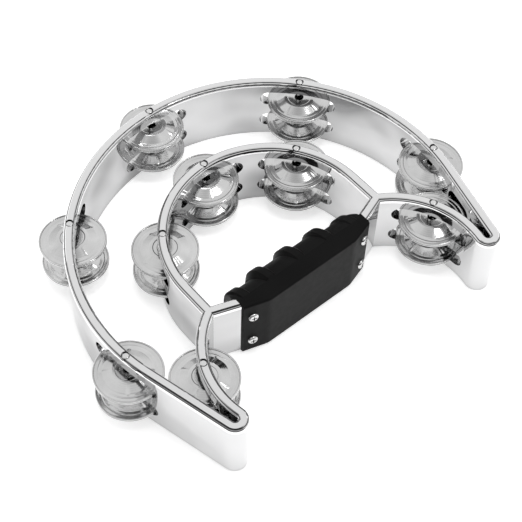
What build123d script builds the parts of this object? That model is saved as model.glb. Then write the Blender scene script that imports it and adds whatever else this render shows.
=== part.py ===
from build123d import *
import os
from math import cos, radians, sin

os.makedirs("parts", exist_ok=True)

# Millimetres. Z up, apex of the crescent towards +Y, mouth towards -Y, base of the frame on Z = 0.

# ---- frame walls, drawn about the centre of the big arc ----
ring_y = -24.8          # centre of both arcs, set so the origin is the middle of the plan
outer_r = 124.0         # centreline radius of the outer band
outer_sweep = 104.9     # half angle of the outer band before it runs straight to the tip
heel_run = 57.7         # straight run from the arc to the tip
tip_r = 4.9             # centreline radius of the tight bend at each tip
tip_sweep = 178.0
inner_r = 67.0          # centreline radius of the inner ring
junction = (67.0, -21.8)     # where ring, horn and arm meet
arm_end = (47.0, -28.9)      # inside the grip

frame_h = 49.5
web_t = 6.6             # over both skins of the hollow wall
skin_t = 1.7
rim_z = 45.8            # underside of the rim bead
rim_t = 7.0
rim_round = 2.0         # rounding of the bead's two shoulders
shoulder_z = 48.9
crown_t = 4.2
crown_bevel = 0.4
crown_sink = 0.6        # how far the crown's foot reaches down into the bead
void_top = 43.8         # closed end of the channel, which is open at the base
over = 1.0              # how far a cutter runs past the face it cuts

# ---- jingle stations: plan position, direction of the wall's normal ----
slot_len, slot_h = 50.8, 11.6
slot_z = {"upper": 34.4, "lower": 13.7}
slot_rim = 1.5          # wall of the tunnel that lines each slot between the skins
slot_shift = 2.2        # slots of the inner ring and horns lie this far past their pins, away from the apex
slot_in, slot_out = 11.0, 6.0     # cut on the hollow and on the bulging side of the wall
horn_normal = 25.4
window_len, window_near, window_depth = 24.0, 17.5, 5.0
side_angle = 48.8       # outer side stations, from the apex
heel_angle = 97.2       # outer heel stations, from the apex
inner_angle = 53.7


def on_arc(radius, from_apex):
    """Plan position at an angle from the apex, positive to the right, and the wall's normal there."""
    a = radians(90 - from_apex)
    return (radius * cos(a), radius * sin(a), 90 - from_apex)


horn_x, horn_y = 91.7, -47.4
stations = {
    "outer_apex": on_arc(outer_r, 0),
    "outer_left": on_arc(outer_r, -side_angle),
    "outer_right": on_arc(outer_r, side_angle),
    "outer_heel_left": on_arc(outer_r, -heel_angle),
    "outer_heel_right": on_arc(outer_r, heel_angle),
    "inner_apex": on_arc(inner_r, 0),
    "inner_left": on_arc(inner_r, -inner_angle),
    "inner_right": on_arc(inner_r, inner_angle),
    "horn_left": (-horn_x, horn_y, 180 - horn_normal),
    "horn_right": (horn_x, horn_y, horn_normal),
}

# How each pair of jingles lies on its pin at rest: lean in degrees, heading it leans towards.
lean = {
    "outer_apex": (2.5, 48), "outer_left": (3.0, 50), "outer_right": (1.0, 46),
    "outer_heel_left": (0.5, 50), "outer_heel_right": (2.0, 228),
    "inner_apex": (1.2, 228), "inner_left": (0.7, 228), "inner_right": (1.0, 90),
    "horn_left": (3.0, 50), "horn_right": (0.4, 48),
}
# How far off its pin's axis each pair lies, and the heading in degrees.
slide = {
    "outer_apex": (0.9, -65), "outer_left": (1.1, -95), "outer_right": (0.8, -110),
    "outer_heel_left": (1.1, -90), "outer_heel_right": (0.3, -90),
    "inner_apex": (1.1, -42), "inner_left": (1.1, -42), "inner_right": (1.0, -80),
    "horn_left": (1.0, -80), "horn_right": (1.1, -60),
}

# ---- jingles and their pins ----
jingle_r = 21.2
jingle_h = 3.0          # one disc, flange to top of the cone
sheet_t = 0.5
hole_r = 3.0
crown_r = 9.8           # flat top of the cone
flange_r = 15.2         # foot of the cone
under_in = 0.3          # how far inside its top the cone's underside stands, which keeps the sheet even
curl_w, curl_h, curl_round = 1.0, 1.1, 0.35     # rolled edge
pair_gap = 0.3          # between the two flanges at rest
rest_gap = 0.3          # under the lower disc at rest

pin_r = 1.5
pin_bore_r = 1.52
pin_head_r, pin_head_h, pin_head_round = 2.1, 1.2, 0.7
recess_r, recess_d = 2.7, 1.6
boss_r = 3.0
pin_foot = 1.5          # height of the pin's lower end above the base

# ---- grip: two half shells around a bar that joins the arms ----
grip_half = 50.2
arm_room = 30.0         # depth in plan of the space cleared of walls round the grip
channel_stop = 5.0      # the hollow of the arms ends this far outside the grip
grip_front = -38.8
grip_end_front = -33.8  # front face at the two ends
facet_x = 34.0          # where the end facets start
split_y = -27.3         # parting plane of the two shells
flat_y = -33.3          # the back shell's sections start here and are trimmed at the parting plane
bar_t = 5.0
bar_lap = 3.0           # how far the bar reaches into each arm
bar_low, bar_high = 7.0, 42.5
back_depth = 20.0       # from the middle of the rounding to the back
back_valley = -10.8     # furthest back at the outer finger grooves
back_swell = -8.3       # and at the two middle ones
finger_pitch = 23.0
ridge_half, ridge_slope, ridge_taper = 2.5, 3.5, 45.0
end_ridge_x = 43.0
back_ridges = [(0, -4.6), (-finger_pitch, -5.6), (finger_pitch, -5.6),
               (-end_ridge_x, -9.0), (end_ridge_x, -9.0)]
corner_x, corner_top, corner_y = 46.0, -10.5, -22.0
fold_r, front_edge_r = 12.0, 1.6
hollow_half, hollow_back, hollow_front, hollow_h = 28.0, 9.0, 8.0, 37.5
bar_gap = 0.1
screw_x = 44.5
screw_rise = 12.6
screw_r, screw_len = 1.5, 21.0
screw_point, screw_taper = 2.5, 1.0      # length and depth of the pointed end
screw_head_r, screw_head_h, screw_head_round = 3.3, 2.0, 1.6
screw_bore_r, screw_clear_r = 1.52, 1.8
cross_len, cross_w, cross_d = 3.6, 0.8, 1.2
bar_hole_r = 2.2


def screw_planes():
    """Axes of the grip's screws: origin on the end facets, Z out of the face."""
    slope = (grip_end_front - grip_front) / (grip_half - facet_x)
    planes = []
    for side in (-1, 1):
        y = grip_front + (screw_x - facet_x) * slope
        for z in (frame_h / 2 - screw_rise, frame_h / 2 + screw_rise):
            planes.append(Plane((side * screw_x, y + ring_y, z), x_dir=(0, 0, 1), z_dir=(side * slope, -1, 0)))
    return planes


on_base = (Align.CENTER, Align.CENTER, Align.MIN)


def pin_places(z):
    return [(x, y + ring_y, z) for x, y, normal in stations.values()]


def in_plan(z):
    return Plane((0, ring_y, z))


def walls(width, z):
    """Plan of every wall of the frame at one thickness."""
    with BuildSketch(in_plan(z)) as plan:
        with BuildLine():
            band = JernArc((0, outer_r), (1, 0), outer_r, -outer_sweep)
            heel = Line(band @ 1, band @ 1 + (band % 1) * heel_run)
            tip = JernArc(heel @ 1, heel % 1, tip_r, -tip_sweep)
            TangentArc(tip @ 1, junction, tangent=tip % 1)
            Line(junction, (inner_r, 0))
            CenterArc((0, 0), inner_r, 0, 90)
            mirror(about=Plane.YZ)
        make_face()
        gap = offset(amount=-width / 2, kind=Kind.INTERSECTION, mode=Mode.PRIVATE)
        offset(amount=width / 2, kind=Kind.INTERSECTION, mode=Mode.REPLACE)
        for side in (-1, 1):
            with BuildLine():
                Line((side * junction[0], junction[1]), (side * arm_end[0], arm_end[1]))
            trace(line_width=width)
        add(gap, mode=Mode.SUBTRACT)
    return plan.sketch


def wall_plane(x, y, normal, z, along=0.0):
    """Upright plane tangent to a wall, facing out along the wall's normal, its middle moved along the wall."""
    a = radians(normal)
    middle = (x - along * sin(a), y + ring_y + along * cos(a), z)
    return Plane(middle, x_dir=(-sin(a), cos(a), 0), z_dir=(cos(a), sin(a), 0))


def slot_planes():
    """Middle of every slot, Z out through the wall."""
    planes = []
    for station, (x, y, normal) in stations.items():
        if station.startswith("outer") or station.endswith("apex"):
            along = 0.0
        else:
            along = -slot_shift if x > 0 else slot_shift
        planes += [wall_plane(x, y, normal, z, along) for z in slot_z.values()]
    return planes


def top_edges(part):
    return part.faces().sort_by(Axis.Z)[-1].edges()


# ---------------------------------------------------------------- frame
# hollow of the wall, open at the base; it ends short of the grip and keeps clear of the slots' linings
with BuildPart() as channel:
    extrude(walls(web_t - 2 * skin_t, -over), amount=void_top + over)
    with Locations((0, ring_y + split_y, frame_h / 2)):
        Box(2 * (grip_half + channel_stop), arm_room, 2 * frame_h, mode=Mode.SUBTRACT)
    with BuildSketch(*[plane.offset(-slot_in) for plane in slot_planes()]):
        SlotOverall(slot_len + 2 * slot_rim, slot_h + 2 * slot_rim)
    extrude(amount=slot_in + slot_out, mode=Mode.SUBTRACT)

with BuildPart() as frame:
    extrude(walls(web_t, 0), amount=rim_z)
    extrude(walls(rim_t, rim_z), amount=shoulder_z - rim_z)
    fillet(top_edges(frame), rim_round)
    extrude(walls(crown_t, shoulder_z - crown_sink), amount=frame_h - shoulder_z + crown_sink)
    chamfer(top_edges(frame), crown_bevel)
    add(channel.part, mode=Mode.SUBTRACT)

    # pin bosses inside the hollow
    with Locations(*pin_places(0)):
        Cylinder(boss_r, void_top + over, align=on_base)

    # jingle slots, right through the wall
    with BuildSketch(*[plane.offset(-slot_in) for plane in slot_planes()]):
        SlotOverall(slot_len, slot_h)
    extrude(amount=slot_in + slot_out, mode=Mode.SUBTRACT)

    # windows in the heel's inner skin, which the edge of the horn's jingles reaches into
    with BuildSketch(*[wall_plane(side * horn_x, horn_y, 90 - side * outer_sweep, z).offset(window_near)
                       for side in (-1, 1) for z in slot_z.values()]):
        SlotOverall(window_len, slot_h)
    extrude(amount=window_depth, mode=Mode.SUBTRACT)

    # pin bores and the recesses for their heads
    with Locations(*pin_places(0)):
        Cylinder(pin_bore_r, frame_h, align=on_base, mode=Mode.SUBTRACT)
    with Locations(*pin_places(frame_h - recess_d)):
        Cylinder(recess_r, recess_d, align=on_base, mode=Mode.SUBTRACT)

    # arms stop at the grip's ends, and a bar runs between them inside it
    with Locations((0, ring_y + split_y, frame_h / 2)):
        Box(2 * grip_half, arm_room, 2 * frame_h, mode=Mode.SUBTRACT)
    with Locations((0, ring_y + split_y, (bar_low + bar_high) / 2)):
        Box(2 * (grip_half + bar_lap), bar_t, bar_high - bar_low)
    with Locations(*screw_planes()):
        Cylinder(bar_hole_r, 2 * screw_len, mode=Mode.SUBTRACT)

# ---------------------------------------------------------------- pins
with BuildPart() as pin:
    with Locations((0, 0, pin_foot)):
        Cylinder(pin_r, frame_h - recess_d - pin_foot, align=on_base)
    with Locations((0, 0, frame_h - recess_d)):
        Cylinder(pin_head_r, pin_head_h, align=on_base)
    fillet(top_edges(pin), pin_head_round)

# ---------------------------------------------------------------- jingles
# one disc, flange on Z = 0 and cone upwards
with BuildPart() as jingle:
    with BuildSketch(Plane.XZ):
        with BuildLine():
            Polyline((hole_r, jingle_h - sheet_t), (crown_r - under_in, jingle_h - sheet_t),
                     (flange_r - under_in, 0), (jingle_r, 0), (jingle_r, curl_h),
                     (jingle_r - curl_w, curl_h), (jingle_r - curl_w, sheet_t), (flange_r, sheet_t),
                     (crown_r, jingle_h), (hole_r, jingle_h), close=True)
        make_face()
    revolve(axis=Axis.Z)
    curl_edges = jingle.edges().filter_by(GeomType.CIRCLE).group_by(SortBy.RADIUS)[-1]
    fillet(curl_edges, curl_round)


def pair_height(tilt):
    """Height of the flanges' middle above the slot's floor, clear of it for any heading of the lean."""
    a = radians(tilt)
    return rest_gap + (jingle_h + pair_gap / 2) * cos(a) + crown_r * sin(a)


# ---------------------------------------------------------------- grip
def d_profile(back, x):
    """Side profile of the back shell: flat on the parting plane, round behind, at one section."""
    with BuildSketch(Plane((x, ring_y, 0), x_dir=(0, 1, 0), z_dir=(1, 0, 0))) as profile:
        with BuildLine():
            Polyline((back - back_depth, 0), (flat_y, 0), (flat_y, frame_h), (back - back_depth, frame_h))
            ThreePointArc((back - back_depth, frame_h), (back, frame_h / 2), (back - back_depth, 0))
        make_face()
    return profile.sketch


with BuildPart() as grip_back:
    extrude(d_profile(back_valley, -grip_half), amount=2 * grip_half)
    extrude(d_profile(back_swell, -finger_pitch), amount=2 * finger_pitch)
    for middle, back in back_ridges:
        extrude(d_profile(back, middle - ridge_half), amount=2 * ridge_half)
        extrude(d_profile(back, middle + ridge_half), amount=ridge_slope, taper=ridge_taper)
        extrude(d_profile(back, middle - ridge_half), amount=-ridge_slope, taper=ridge_taper)
    # the back corners run off to the arms
    with BuildSketch(in_plan(0)):
        with BuildLine():
            Polyline((0, split_y), (grip_half, split_y), (grip_half, corner_y), (corner_x, corner_top),
                     (corner_x, 0), (0, 0))
            mirror(about=Plane.YZ)
        make_face()
    extrude(amount=frame_h, mode=Mode.INTERSECT)
    with Locations((0, ring_y + split_y, frame_h / 2)):
        Box(2 * hollow_half, 2 * hollow_back, hollow_h, mode=Mode.SUBTRACT)
    with Locations((0, ring_y + split_y, (bar_low + bar_high) / 2)):
        Box(2 * grip_half, bar_t + 2 * bar_gap, bar_high - bar_low + 2 * bar_gap, mode=Mode.SUBTRACT)
    with Locations(*screw_planes()):
        Cylinder(screw_bore_r, 2 * screw_len, mode=Mode.SUBTRACT)

with BuildPart() as grip_front_shell:
    with BuildSketch(in_plan(0)):
        with BuildLine():
            Polyline((0, split_y), (grip_half, split_y), (grip_half, grip_end_front),
                     (facet_x, grip_front), (0, grip_front))
            mirror(about=Plane.YZ)
        make_face()
    extrude(amount=frame_h)
    folds = grip_front_shell.edges().filter_by(Axis.Z).group_by(Axis.Y)[0]
    fillet(folds, fold_r)
    rim = grip_front_shell.faces().filter_by(Plane.XY).edges().filter_by_position(
        Axis.Y, ring_y + grip_front - over, ring_y + grip_end_front + over)
    fillet(rim, front_edge_r)
    with Locations((0, ring_y + split_y, frame_h / 2)):
        Box(2 * hollow_half, 2 * hollow_front, hollow_h, mode=Mode.SUBTRACT)
    with Locations((0, ring_y + split_y, (bar_low + bar_high) / 2)):
        Box(2 * grip_half, bar_t + 2 * bar_gap, bar_high - bar_low + 2 * bar_gap, mode=Mode.SUBTRACT)
    with Locations(*screw_planes()):
        Cylinder(screw_clear_r, 2 * screw_len, mode=Mode.SUBTRACT)

# round head with a cross recess, Z out of the head, seated on Z = 0
with BuildPart() as screw:
    Cylinder(screw_r, screw_len, align=(Align.CENTER, Align.CENTER, Align.MAX))
    chamfer(screw.edges().sort_by(Axis.Z)[0], screw_point, screw_taper)
    Cylinder(screw_head_r, screw_head_h, align=on_base)
    fillet(top_edges(screw), screw_head_round)
    with BuildSketch(Plane.XY.offset(screw_head_h)):
        Rectangle(cross_len, cross_w)
        Rectangle(cross_w, cross_len)
    extrude(amount=-cross_d, mode=Mode.SUBTRACT)

with BuildPart() as grip_screws:
    for plane in screw_planes():
        with Locations(plane):
            add(screw.part)

# ---------------------------------------------------------------- write every piece
pieces = {
    "frame": frame.part,
    "grip_back": grip_back.part,
    "grip_front": grip_front_shell.part,
    "grip_screws": grip_screws.part,
}
for name, (x, y, normal) in stations.items():
    pieces[f"pin_{name}"] = Pos(x, y + ring_y, 0) * pin.part
    tilt, heading = lean[name]
    off, towards = slide[name]
    place = (x + off * cos(radians(towards)), y + ring_y + off * sin(radians(towards)))
    for level, z in slot_z.items():
        middle = Pos(*place, z - slot_h / 2 + pair_height(tilt))
        leaning = middle * Rot(0, 0, heading) * Rot(0, tilt, 0) * Rot(0, 0, -heading)
        pieces[f"jingle_{name}_{level}_top"] = leaning * Pos(0, 0, pair_gap / 2) * jingle.part
        pieces[f"jingle_{name}_{level}_bottom"] = leaning * Pos(0, 0, -pair_gap / 2) * Rot(180, 0, 0) * jingle.part
    print(name, "free travel of the pair", round(slot_h - 2 * pair_height(tilt), 2))

for name, piece in pieces.items():
    piece.label = name
    export_step(piece, f"parts/{name}.step")
whole = Compound(children=[p for p in pieces.values()])
print(len(pieces), "nodes", whole.bounding_box())
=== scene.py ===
from math import cos, pi, radians, sin, tan

import bpy
import numpy as np
from mathutils import Matrix, Vector


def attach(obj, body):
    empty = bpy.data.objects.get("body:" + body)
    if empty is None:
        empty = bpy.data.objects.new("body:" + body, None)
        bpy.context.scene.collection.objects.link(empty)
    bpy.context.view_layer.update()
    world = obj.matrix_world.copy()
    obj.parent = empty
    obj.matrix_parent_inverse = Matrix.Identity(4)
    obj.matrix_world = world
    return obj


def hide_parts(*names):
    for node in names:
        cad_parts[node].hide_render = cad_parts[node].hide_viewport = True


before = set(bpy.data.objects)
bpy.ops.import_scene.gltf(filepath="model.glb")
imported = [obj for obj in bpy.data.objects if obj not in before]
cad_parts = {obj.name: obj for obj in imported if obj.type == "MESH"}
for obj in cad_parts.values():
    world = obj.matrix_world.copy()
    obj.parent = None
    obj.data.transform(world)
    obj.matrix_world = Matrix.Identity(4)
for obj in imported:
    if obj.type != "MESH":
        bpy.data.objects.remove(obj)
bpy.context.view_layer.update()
scene = bpy.context.scene
MM = 0.001

# ---------------------------------------------------------------- surface patterns
# each noise: scale per metre, octaves of detail, roughness of the detail
reflection_clouds_noise = (13.0, 2.0, 0.5)
patch_noise = (35.0, 4.0, 0.5)
smear_noise = (120.0, 5.0, 0.65)
wave_noise = (60.0, 1.0, 0.4)
scratch_noise = (900.0, 2.0, 0.6)
grip_patch_noise = (40.0, 4.0, 0.5)
grip_shine_noise = (220.0, 4.0, 0.6)
grip_grain_noise = (1800.0, 2.0, 0.5)
disc_blotch_noise = (60.0, 4.0, 0.5)
disc_shine_noise = (150.0, 4.0, 0.6)
disc_wave_noise = (90.0, 1.0, 0.4)
ring_scale, ring_wobble = 260.0, 0.6                   # turned rings on the discs

wave_depth, scratch_depth, ring_depth = 1.0 * MM, 0.2 * MM, 0.1 * MM
patch_low, patch_high = 0.3, 0.7                       # noise values where a colour starts and ends
shine_low, shine_high = 0.35, 0.72                     # the same for roughness

# painted shade from ambient occlusion: how far the surroundings shade a surface, and (openness, brightness)
# stops
fitting_reach, disc_reach, frame_reach = 2.0 * MM, 4.0 * MM, 8.0 * MM
pin_shade = [(0.30, 0.04), (0.72, 1.0)]
screw_shade = [(0.15, 0.04), (0.45, 1.0)]
disc_shade = [(0.05, 0.55), (0.4, 1.0)]
frame_shade = [(0.20, 0.04), (0.48, 0.88), (0.68, 1.0)]

crease_shade_low, crease_shade_high = 48.50 * MM, 49.12 * MM       # painted shade band: heights of the step on each side of the rim's crown
crease_painted_shade = [(0.0, 1.0), (0.15, 0.12), (0.85, 0.12), (1.0, 1.0)]
rim_under = 45.7 * MM                                  # painted highlight: the rim is brighter than the walls
rim_painted_highlight = (0.83, 0.83, 0.833)
reflection_back, reflection_front = 0.0, -0.25                     # painted reflection: the walls get brighter towards the mouth
# painted reflection: noise clouds of darker and lighter wall tone
reflection_cloud_share = 1.3
reflection_cloud_stretch = (1, 1, 1.6)
wall_tones_and_painted_reflections = [(0.50, (0.27, 0.27, 0.273)), (0.76, (0.54, 0.54, 0.543)), (1.0, (0.64, 0.64, 0.643))]

# ---------------------------------------------------------------- node helpers
shade_samples = 6
mix_first, mix_second, mix_result = 6, 7, 2            # colour sockets of a Mix node


def new_material(name):
    material = bpy.data.materials.new(name)
    material.use_nodes = True
    nodes, links = material.node_tree.nodes, material.node_tree.links
    return material, nodes, links, nodes["Principled BSDF"]


def noise(nodes, links, coords, pattern, stretch=(1, 1, 1)):
    mapping = nodes.new("ShaderNodeMapping")
    mapping.inputs["Scale"].default_value = stretch
    links.new(coords, mapping.inputs["Vector"])
    tex = nodes.new("ShaderNodeTexNoise")
    for socket, value in zip(("Scale", "Detail", "Roughness"), pattern):
        tex.inputs[socket].default_value = value
    links.new(mapping.outputs["Vector"], tex.inputs["Vector"])
    return tex.outputs["Fac"]


def ramp(nodes, links, value, stops):
    """Colour ramp whose stops are (place, grey) or (place, colour)."""
    node = nodes.new("ShaderNodeValToRGB")
    elements = node.color_ramp.elements
    while len(elements) < len(stops):
        elements.new(0.5)
    for element, (place, colour) in zip(elements, stops):
        element.position = place
        element.color = (*colour, 1) if isinstance(colour, tuple) else (colour, colour, colour, 1)
    links.new(value, node.inputs["Fac"])
    return node.outputs["Color"]


def bump(nodes, links, height, strength, distance, normal=None):
    node = nodes.new("ShaderNodeBump")
    node.inputs["Strength"].default_value = strength
    node.inputs["Distance"].default_value = distance
    links.new(height, node.inputs["Height"])
    if normal is not None:
        links.new(normal, node.inputs["Normal"])
    return node.outputs["Normal"]


def stretched(nodes, links, value, low, high):
    """Value moved from the range low to high onto 0 to 1."""
    node = nodes.new("ShaderNodeMapRange")
    node.inputs["From Min"].default_value = low
    node.inputs["From Max"].default_value = high
    links.new(value, node.inputs["Value"])
    return node.outputs[0]


def mixed(nodes, links, first, second, factor=None, blend="MIX"):
    """Two colours blended by the factor, or fully where there is none. The second may be a plain colour."""
    node = nodes.new("ShaderNodeMix")
    node.data_type = "RGBA"
    node.blend_type = blend
    if factor is None:
        node.inputs["Factor"].default_value = 1.0
    else:
        links.new(factor, node.inputs["Factor"])
    links.new(first, node.inputs[mix_first])
    if isinstance(second, tuple):
        node.inputs[mix_second].default_value = (*second, 1)
    else:
        links.new(second, node.inputs[mix_second])
    return node.outputs[mix_result]


def with_painted_shade(nodes, links, colour, reach, stops):
    """Colour darkened in tight places by ambient occlusion: painted shade where little light gets in."""
    node = nodes.new("ShaderNodeAmbientOcclusion")
    node.samples = shade_samples
    node.inputs["Distance"].default_value = reach
    return mixed(nodes, links, colour, ramp(nodes, links, node.outputs["AO"], stops), blend="MULTIPLY")


def plate(nodes, links, shader, coords, rough, wave, scratch):
    """Plated metal: smeared roughness between two limits, a slow waviness and fine scratches."""
    shader.inputs["Metallic"].default_value = 1.0
    smears = noise(nodes, links, coords, smear_noise)
    links.new(ramp(nodes, links, smears, [(shine_low, rough[0]), (shine_high, rough[1])]),
              shader.inputs["Roughness"])
    slow = bump(nodes, links, noise(nodes, links, coords, wave_noise), wave, wave_depth)
    fine = noise(nodes, links, coords, scratch_noise)
    links.new(bump(nodes, links, fine, scratch, scratch_depth, slow), shader.inputs["Normal"])


# ---------------------------------------------------------------- materials
def fitting_metal(name, greys, rough, shade):
    """Bright metal of a pin or screw, in soft patches, with painted shade in tight places."""
    material, nodes, links, shader = new_material(name)
    coords = nodes.new("ShaderNodeTexCoord").outputs["Object"]
    tone = ramp(nodes, links, noise(nodes, links, coords, patch_noise),
                [(patch_low, greys[0]), (patch_high, greys[1])])
    # painted shade: the tone is darkened by ambient occlusion in tight places
    links.new(with_painted_shade(nodes, links, tone, fitting_reach, shade), shader.inputs["Base Color"])
    plate(nodes, links, shader, coords, rough, wave=0.02, scratch=0.05)
    return material


def chrome_plate():
    """Mirror plating: painted reflection clouds brighter towards the mouth, a painted highlight on the rim,
    clean on open faces, painted shade in slots and at the step beside the rim's crown.
    """
    material, nodes, links, shader = new_material("chrome_plate")
    coords = nodes.new("ShaderNodeTexCoord").outputs["Object"]
    split = nodes.new("ShaderNodeSeparateXYZ")
    links.new(coords, split.inputs[0])
    # painted reflection: noise clouds plus a gradient brighter towards the mouth
    painted_reflection_clouds = nodes.new("ShaderNodeMath")
    painted_reflection_clouds.operation = "MULTIPLY_ADD"
    links.new(noise(nodes, links, coords, reflection_clouds_noise, reflection_cloud_stretch), painted_reflection_clouds.inputs[0])
    painted_reflection_clouds.inputs[1].default_value = reflection_cloud_share
    links.new(stretched(nodes, links, split.outputs["Y"], reflection_back, reflection_front), painted_reflection_clouds.inputs[2])
    walls_with_painted_reflection = ramp(nodes, links, painted_reflection_clouds.outputs[0], wall_tones_and_painted_reflections)
    # painted highlight: the rim above rim_under is brighter than the walls
    on_rim = nodes.new("ShaderNodeMath")
    on_rim.operation = "GREATER_THAN"
    on_rim.inputs[1].default_value = rim_under
    links.new(split.outputs["Z"], on_rim.inputs[0])
    tone = mixed(nodes, links, walls_with_painted_reflection, rim_painted_highlight, factor=on_rim.outputs[0])
    # painted shade: a dark band at the step beside the rim's crown
    step = ramp(nodes, links, stretched(nodes, links, split.outputs["Z"], crease_shade_low, crease_shade_high), crease_painted_shade)
    tone = mixed(nodes, links, tone, step, blend="MULTIPLY")
    # painted shade: ambient occlusion darkens slots and hollows
    links.new(with_painted_shade(nodes, links, tone, frame_reach, frame_shade), shader.inputs["Base Color"])
    plate(nodes, links, shader, coords, rough=(0.02, 0.06), wave=0.04, scratch=0.01)
    return material


def grip_plastic():
    """Satin black plastic with a fine moulded grain."""
    material, nodes, links, shader = new_material("grip_black")
    coords = nodes.new("ShaderNodeTexCoord").outputs["Object"]
    links.new(ramp(nodes, links, noise(nodes, links, coords, grip_patch_noise),
                   [(patch_low, 0.003), (patch_high, 0.005)]), shader.inputs["Base Color"])
    links.new(ramp(nodes, links, noise(nodes, links, coords, grip_shine_noise),
                   [(patch_low, 0.46), (patch_high, 0.53)]), shader.inputs["Roughness"])
    shader.inputs["Specular IOR Level"].default_value = 0.08
    grain = bump(nodes, links, noise(nodes, links, coords, grip_grain_noise), 0.12, scratch_depth)
    links.new(grain, shader.inputs["Normal"])
    return material


def turned_metal():
    """Jingle sheet: turned rings round the axis, small blotches, soft shine, painted shade where neighbours
    crowd it.
    """
    material, nodes, links, shader = new_material("jingle_plate")
    coords = nodes.new("ShaderNodeTexCoord").outputs["Object"]
    shift = nodes.new("ShaderNodeVectorMath")
    links.new(coords, shift.inputs[0])
    links.new(nodes.new("ShaderNodeObjectInfo").outputs["Random"], shift.inputs[1])
    own = shift.outputs[0]
    tone = ramp(nodes, links, noise(nodes, links, own, disc_blotch_noise),
                [(patch_low, 0.62), (patch_high, 0.73)])
    # painted shade: ambient occlusion darkens the disc where the frame and other discs crowd it
    links.new(with_painted_shade(nodes, links, tone, disc_reach, disc_shade), shader.inputs["Base Color"])
    shader.inputs["Metallic"].default_value = 1.0
    links.new(ramp(nodes, links, noise(nodes, links, own, disc_shine_noise),
                   [(shine_low, 0.12), (shine_high, 0.20)]), shader.inputs["Roughness"])
    rings = nodes.new("ShaderNodeTexWave")
    rings.wave_type = "RINGS"
    rings.rings_direction = "Z"
    rings.inputs["Scale"].default_value = ring_scale
    rings.inputs["Distortion"].default_value = ring_wobble
    links.new(coords, rings.inputs["Vector"])
    slow = bump(nodes, links, noise(nodes, links, own, disc_wave_noise), 0.15, wave_depth)
    links.new(bump(nodes, links, rings.outputs["Fac"], 0.08, ring_depth, slow), shader.inputs["Normal"])
    return material


def give(obj, material):
    obj.data.materials.clear()
    obj.data.materials.append(material)


chrome = chrome_plate()
pin_metal = fitting_metal("pin_plate", greys=(0.72, 0.82), rough=(0.12, 0.25), shade=pin_shade)
screw_metal = fitting_metal("screw_plate", greys=(0.60, 0.70), rough=(0.08, 0.18), shade=screw_shade)
black = grip_plastic()
jingle_plate = turned_metal()

for name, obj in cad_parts.items():
    if name == "frame":
        give(obj, chrome)
    elif name.startswith("pin"):
        give(obj, pin_metal)
    elif name == "grip_screws":
        give(obj, screw_metal)
    elif name.startswith("grip"):
        give(obj, black)


# ---------------------------------------------------------------- mesh helpers
def rounded(points, steps=4):
    """Closed outline with each corner (x, y, radius) turned into an arc."""
    outline = []
    count = len(points)
    for i, (x, y, radius) in enumerate(points):
        corner = Vector((x, y))
        before = Vector(points[i - 1][:2]) - corner
        after = Vector(points[(i + 1) % count][:2]) - corner
        half = before.angle(after) / 2
        reach = radius / tan(half)
        start, end = corner + before.normalized() * reach, corner + after.normalized() * reach
        centre = corner + (before.normalized() + after.normalized()).normalized() * (radius / sin(half))
        for step in range(steps + 1):
            blend = start.lerp(end, step / steps) - centre
            outline.append(tuple(centre + blend.normalized() * radius))
    return outline


def lathe(name, outline, angles):
    """Closed outline in (radius, height) turned about Z at the given angles."""
    verts = [(r * cos(a), r * sin(a), z) for a in angles for r, z in outline]
    rows, count = len(angles), len(outline)
    faces = [(i * count + j, ((i + 1) % rows) * count + j,
              ((i + 1) % rows) * count + (j + 1) % count, i * count + (j + 1) % count)
             for i in range(rows) for j in range(count)]
    mesh = bpy.data.meshes.new(name)
    mesh.from_pydata(verts, [], faces)
    mesh.shade_smooth()
    return mesh


# ---------------------------------------------------------------- jingles
disc_r, disc_h, sheet = 21.2 * MM, 3.0 * MM, 0.5 * MM
hole_r, crown_r, foot_r = 3.0 * MM, 9.8 * MM, 15.2 * MM
under_in = 0.3 * MM                                    # the cone's underside lies this far inside its top
curl_r, curl_lean = 0.55 * MM, 0.05 * MM               # rolled edge
groove_r, groove_d, groove_half = 17.7 * MM, 0.15 * MM, 0.6 * MM
dish_r, dish_d, dish_slope = 7.4 * MM, 0.2 * MM, 0.5 * MM
dimple_at, dimple_r, dimple_d, dimples = 14.6 * MM, 1.5 * MM, 0.5 * MM, 4
facets = 96
dimple_rays, dimple_fan = 4, 1.3                       # extra facets on each side of a dimple, and their spread
least_step = 0.004                                     # facets closer than this angle are dropped
dimple_turns = [2 * pi * (k + 0.5 / facets) / dimples for k in range(dimples)]
disc_patterns, pattern_turn, pattern_step = 5, 0.9, 3  # discs whose dimples lie at other angles
rim_share = 0.98                                       # points this near the largest radius are on the rim


def facet_angles():
    """Even facets all round, with finer ones at the dimples."""
    angles = [2 * pi * i / facets for i in range(facets)]
    spread = dimple_r / dimple_at * dimple_fan
    for middle in dimple_turns:
        angles += [(middle + spread * (i / dimple_rays - 1)) % (2 * pi) for i in range(2 * dimple_rays + 1)]
    angles = sorted(angles)
    return [a for i, a in enumerate(angles) if i == 0 or a - angles[i - 1] > least_step]


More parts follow.
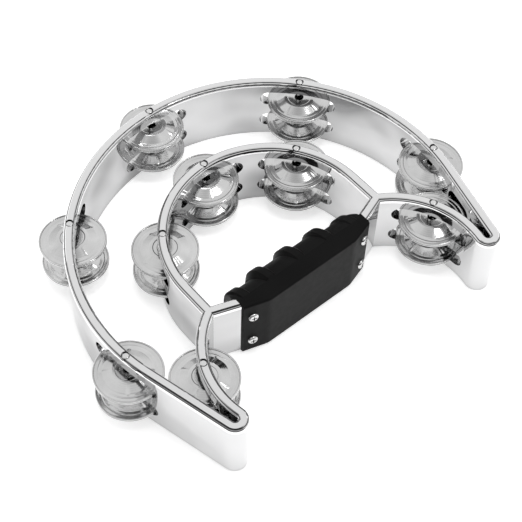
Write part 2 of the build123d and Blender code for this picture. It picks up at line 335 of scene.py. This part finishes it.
def jingle_mesh():
    """Dished cone with a flat flange, its corners given as (radius, height, bend in mm)."""
    top = [(hole_r, disc_h - dish_d, 0.12), (dish_r, disc_h - dish_d, 0.8), (dish_r + dish_slope, disc_h, 0.8),
           (crown_r, disc_h, 1.4), (foot_r, sheet, 1.6),
           (groove_r - groove_half, sheet, 0.5), (groove_r, sheet - groove_d, 0.5),
           (groove_r + groove_half, sheet, 0.5)]
    curl = [(disc_r - 2 * curl_r, sheet, 0.15), (disc_r - 2 * curl_r + curl_lean, 2 * curl_r, 0.4),
            (disc_r, 2 * curl_r, 0.5), (disc_r, 0, 0.5)]
    under = [(foot_r - under_in, 0, 1.2), (crown_r - under_in, disc_h - sheet - dish_d, 1.0),
             (hole_r, disc_h - sheet - dish_d, 0.12)]
    outline = rounded([(r, z, bend * MM) for r, z, bend in top + curl + under])
    mesh = lathe("jingle", outline, facet_angles())
    centres = [Vector((dimple_at * cos(turn), dimple_at * sin(turn))) for turn in dimple_turns]
    for vertex in mesh.vertices:
        place = vertex.co.xy
        for centre in centres:
            away = (place - centre).length / dimple_r
            if away < 1:
                vertex.co.z += dimple_d * (1 + cos(pi * away)) / 2
    return mesh


def disc_frame(name):
    """Frame of one CAD disc: origin in the middle of its flange, Z along its cone."""
    points = np.array([tuple(v.co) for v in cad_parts[name].data.vertices])
    centre = (points.max(axis=0) + points.min(axis=0)) / 2
    away = np.linalg.norm(points - centre, axis=1)
    rim = points[away > rim_share * away.max()]
    normal = np.linalg.svd(rim - rim.mean(axis=0), full_matrices=False)[2][2]
    normal *= np.sign(normal[2]) * (1 if name.endswith("top") else -1)
    side = np.cross((0.0, 1.0, 0.0), normal)
    side /= np.linalg.norm(side)
    axes = np.array([side, np.cross(normal, side), normal])
    local = points @ axes.T
    low, high = local.min(axis=0), local.max(axis=0)
    origin = axes.T @ np.array([(low[0] + high[0]) / 2, (low[1] + high[1]) / 2, low[2]])
    placed = Matrix([list(row) for row in axes]).transposed().to_4x4()
    placed.translation = Vector(origin)
    return placed


turned_discs = []
for pattern in range(disc_patterns):
    disc = jingle_mesh()
    disc.transform(Matrix.Rotation(pattern_turn * pattern, 4, "Z"))
    disc.materials.append(jingle_plate)
    turned_discs.append(disc)
jingle_names = sorted(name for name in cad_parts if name.startswith("jingle"))
for place, name in enumerate(jingle_names):
    disc = turned_discs[place * pattern_step % disc_patterns]
    obj = bpy.data.objects.new(name.replace("jingle", "disc"), disc)
    scene.collection.objects.link(obj)
    obj.matrix_world = disc_frame(name)
    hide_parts(name)
    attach(obj, name)

# ---------------------------------------------------------------- floor, light, camera
floor_size, floor_tone, floor_glow = 6.0, 0.93, 0.47
toward_front = (-0.668, -0.744, 0.0)                   # level direction of the dark strip, on the camera's side
# (height of the direction, brightness) of the room, and of the strip of it in front
room_bright = [(0.0, 0.55), (0.25, 0.75), (0.6, 0.92), (0.82, 0.86), (0.95, 0.80), (1.0, 0.50)]
front_bright = [(0.0, 0.012), (0.52, 0.02), (0.62, 0.6), (0.75, 0.9), (0.95, 0.95), (1.0, 0.50)]
front_edge = [(0.25, 0), (0.55, 1)]

ring_y = -24.8 * MM                                    # centre of the bands
camera_aim = Vector((-0.02069, -0.0140 + ring_y, 0.0495))
camera_azimuth, camera_elevation, camera_roll = radians(-41.874), radians(54.822), radians(2.243)
camera_distance, camera_lens, sensor_width = 0.78935, 90.58, 36


def floor():
    mesh = bpy.data.meshes.new("floor")
    corners = [(-floor_size, -floor_size, 0), (floor_size, -floor_size, 0),
               (floor_size, floor_size, 0), (-floor_size, floor_size, 0)]
    mesh.from_pydata(corners, [], [(0, 1, 2, 3)])
    obj = bpy.data.objects.new("floor", mesh)
    scene.collection.objects.link(obj)
    material, _, _, shader = new_material("floor_pale")
    shader.inputs["Base Color"].default_value = (floor_tone, floor_tone, floor_tone, 1)
    shader.inputs["Roughness"].default_value = 0.9
    shader.inputs["Specular IOR Level"].default_value = 0.0
    shader.inputs["Emission Color"].default_value = (1, 1, 1, 1)
    shader.inputs["Emission Strength"].default_value = floor_glow
    give(obj, material)


def softbox(name, place, size, power, mirrored=True):
    """Square light facing the object, left out of the reflections where it isn't mirrored."""
    light = bpy.data.lights.new(name, "AREA")
    light.shape = "RECTANGLE"
    light.size = light.size_y = size
    light.energy = power
    obj = bpy.data.objects.new(name, light)
    obj.location = place
    obj.visible_glossy = mirrored
    obj.rotation_euler = (-Vector(place)).to_track_quat("-Z", "Y").to_euler()
    scene.collection.objects.link(obj)


def studio():
    """Bright room all round, with a dark strip low down in front of the tambourine."""
    world = bpy.data.worlds.new("studio")
    scene.world = world
    world.use_nodes = True
    nodes, links = world.node_tree.nodes, world.node_tree.links
    direction = nodes.new("ShaderNodeTexCoord").outputs["Generated"]
    split = nodes.new("ShaderNodeSeparateXYZ")
    links.new(direction, split.inputs[0])
    toward = nodes.new("ShaderNodeVectorMath")
    toward.operation = "DOT_PRODUCT"
    toward.inputs[1].default_value = toward_front
    links.new(direction, toward.inputs[0])
    room = ramp(nodes, links, split.outputs["Z"], room_bright)
    front = ramp(nodes, links, split.outputs["Z"], front_bright)
    in_front = ramp(nodes, links, toward.outputs["Value"], front_edge)
    light = mixed(nodes, links, room, front, factor=in_front)
    links.new(light, nodes["Background"].inputs["Color"])


def camera():
    back = Vector((sin(camera_azimuth) * cos(camera_elevation), -cos(camera_azimuth) * cos(camera_elevation),
                   sin(camera_elevation)))
    level = Vector((0, 0, 1)).cross(back).normalized()
    upright = back.cross(level)
    right = cos(camera_roll) * level + sin(camera_roll) * upright
    up = cos(camera_roll) * upright - sin(camera_roll) * level
    data = bpy.data.cameras.new("camera")
    data.sensor_width = sensor_width
    data.lens = camera_lens
    obj = bpy.data.objects.new("camera", data)
    obj.matrix_world = Matrix((right, up, back)).transposed().to_4x4()
    obj.location = camera_aim + back * camera_distance
    scene.collection.objects.link(obj)
    scene.camera = obj


floor()
softbox("key_softbox", (0.6, -0.65, 1.8), size=0.4, power=4)
softbox("overhead_softbox", (0.1, 0.1, 2.4), size=0.8, power=16, mirrored=False)
studio()
camera()

scene.view_settings.view_transform = "Standard"
